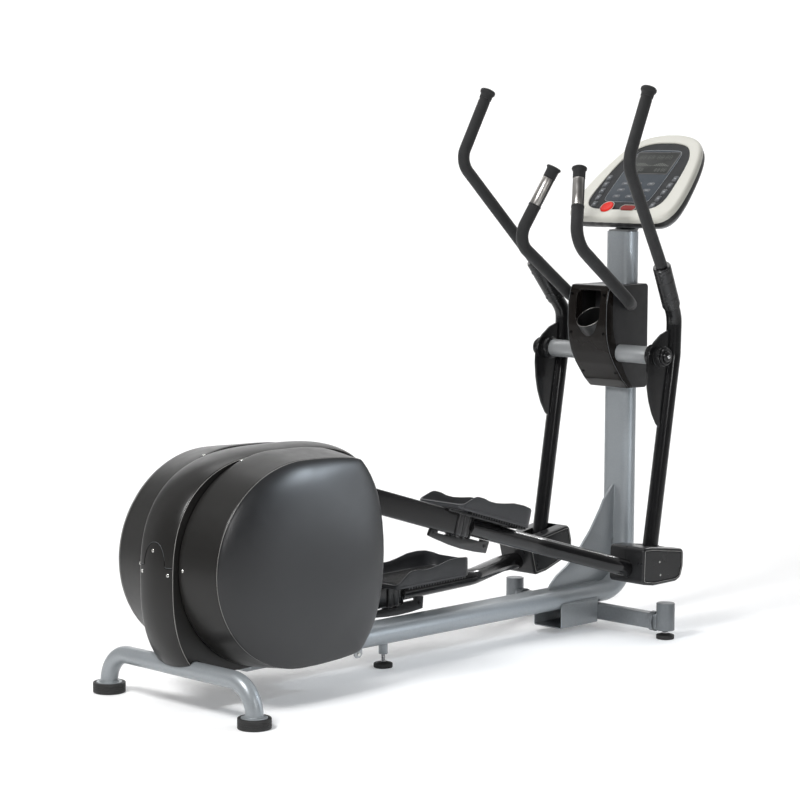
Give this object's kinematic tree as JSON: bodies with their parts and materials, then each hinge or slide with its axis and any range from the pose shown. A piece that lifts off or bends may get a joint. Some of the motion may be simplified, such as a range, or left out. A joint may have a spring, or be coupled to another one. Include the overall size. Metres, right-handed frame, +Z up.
{
  "type": "elliptical trainer",
  "caption": "Rear-drive elliptical trainer with swinging handle levers, linked pedal arms, an enclosed crank drive, fixed handlebars and a tilted console.",
  "frame": {"origin": "centre of the whole machine's plan box, on the floor", "axes": "+X forward towards the console, +Y to the user's left, +Z up"},
  "size_m": [2.2081, 0.7098, 1.6975],
  "materials": {
    "silver_paint": "satin silver-grey coat",
    "plate_paint": "satin",
    "foot_rubber": "matte",
    "shroud_plastic": "satin charcoal",
    "rim_plastic": "satin charcoal",
    "cover_plastic": "satin charcoal",
    "bright_steel": "bright",
    "belt_rubber": "matte",
    "magnet_steel": "plain",
    "grey_paint": "satin grey coat",
    "black_fittings": "semi-gloss black",
    "box_satin": "satin dark grey",
    "box_gloss": "gloss brown-black",
    "cup_plastic": "matte black",
    "bar_steel": "coated steel tube",
    "grip_foam": "matte foam",
    "sensor_metal": "satin contact plate",
    "console_back": "satin grey",
    "console_cream": "smooth cream",
    "console_dark": "fine satin",
    "console_keys": "soft sheen",
    "button_red": "smooth red",
    "crank_steel": "coated steel",
    "pulley_metal": "turned",
    "flywheel_iron": "turned face",
    "black_paint": "gloss black coat",
    "sleeve_plastic": "satin black",
    "bracket_paint": "satin black coat",
    "pedal_plastic": "satin grey",
    "joint_plastic": "satin charcoal"
  },
  "bodies": {
    "frame": {"main_beam": "silver_paint", "column": "silver_paint", "column_gusset": "silver_paint", "rear_stabilizer": "silver_paint", "rear_feet": "foot_rubber", "front_receiver": "silver_paint", "front_crossbar": "silver_paint", "levelling_feet": "foot_rubber", "bearing_plates": "plate_paint", "bearings": "bright_steel", "shroud_left": "shroud_plastic", "shroud_right": "shroud_plastic", "rim_left": "rim_plastic", "rim_right": "rim_plastic", "side_cover_left": "cover_plastic", "side_cover_right": "cover_plastic", "cover_screws": "bright_steel", "drive_belt": "belt_rubber", "brake_magnets": "magnet_steel", "pivot_tube": "grey_paint", "pivot_axle": "black_fittings", "junction_box": "box_satin", "junction_front": "box_gloss", "bottle_cup": "cup_plastic", "fixed_handlebars": "bar_steel", "fixed_grips": "grip_foam", "contact_plates": "sensor_metal", "console_shell": "console_back", "console_bezel": "console_cream", "console_panel": "console_dark", "console_keys": "console_keys", "console_neck": "silver_paint"},
    "stop_push": {"stop_button": "button_red"},
    "start_push": {"start_button": "button_red"},
    "crank": {"crank_axle": "bright_steel", "crank_arm_left": "crank_steel", "crank_arm_right": "crank_steel", "drive_pulley": "pulley_metal"},
    "flywheel_group": {"flywheel": "flywheel_iron", "flywheel_shaft": "bright_steel"},
    "lever_right": {"lever_tube_right": "black_paint", "lever_plate_right": "black_paint", "lever_hub_right": "black_fittings", "handle_sleeve_right": "sleeve_plastic", "handlebar_right": "bar_steel", "handle_grip_right": "grip_foam"},
    "lever_left": {"lever_tube_left": "black_paint", "lever_plate_left": "black_paint", "lever_hub_left": "black_fittings", "handle_sleeve_left": "sleeve_plastic", "handlebar_left": "bar_steel", "handle_grip_left": "grip_foam"},
    "arm_right": {"pedal_arm_right": "black_paint", "pedal_bracket_right": "bracket_paint", "pedal_right": "pedal_plastic", "joint_box_right": "joint_plastic"},
    "arm_left": {"pedal_arm_left": "black_paint", "pedal_bracket_left": "bracket_paint", "pedal_left": "pedal_plastic", "joint_box_left": "joint_plastic"}
  },
  "joints": [
    {"name": "crank_spin", "type": "hinge", "parent": "frame", "child": "crank", "pos_m": [-0.74124, 0, 0.388], "axis": [0, 1, 0], "continuous": true},
    {"name": "flywheel_spin", "type": "hinge", "parent": "frame", "child": "flywheel_group", "pos_m": [-0.52724, 0, 0.29], "axis": [0, 1, 0], "continuous": true},
    {"name": "lever_right_swing", "type": "hinge", "parent": "frame", "child": "lever_right", "pos_m": [0.72476, -0.228, 0.868], "axis": [0, 1, 0], "range_deg": [-14, 10]},
    {"name": "lever_left_swing", "type": "hinge", "parent": "frame", "child": "lever_left", "pos_m": [0.72476, 0.228, 0.868], "axis": [0, 1, 0], "range_deg": [-10, 14]},
    {"name": "arm_right_pivot", "type": "hinge", "parent": "lever_right", "child": "arm_right", "pos_m": [0.69376, -0.228, 0.225], "axis": [0, 1, 0], "range_deg": [-10, 14]},
    {"name": "arm_left_pivot", "type": "hinge", "parent": "lever_left", "child": "arm_left", "pos_m": [0.69376, 0.228, 0.225], "axis": [0, 1, 0], "range_deg": [-14, 10]},
    {"name": "stop_press", "type": "slide", "parent": "frame", "child": "stop_push", "axis": [0.6613, 0, -0.7501], "range_m": [0, 0.0025], "stiffness_N_per_m": 400, "springref_m": -0.003},
    {"name": "start_press", "type": "slide", "parent": "frame", "child": "start_push", "axis": [0.6613, 0, -0.7501], "range_m": [0, 0.0025], "stiffness_N_per_m": 400, "springref_m": -0.003}
  ],
  "couplings": [
    {"joint": "flywheel_spin", "follows": "crank_spin", "ratio": 5.8929},
    {"joint": "lever_left_swing", "follows": "lever_right_swing", "ratio": -1},
    {"joint": "arm_right_pivot", "follows": "lever_right_swing", "ratio": -1},
    {"joint": "arm_left_pivot", "follows": "lever_right_swing", "ratio": 1}
  ]
}
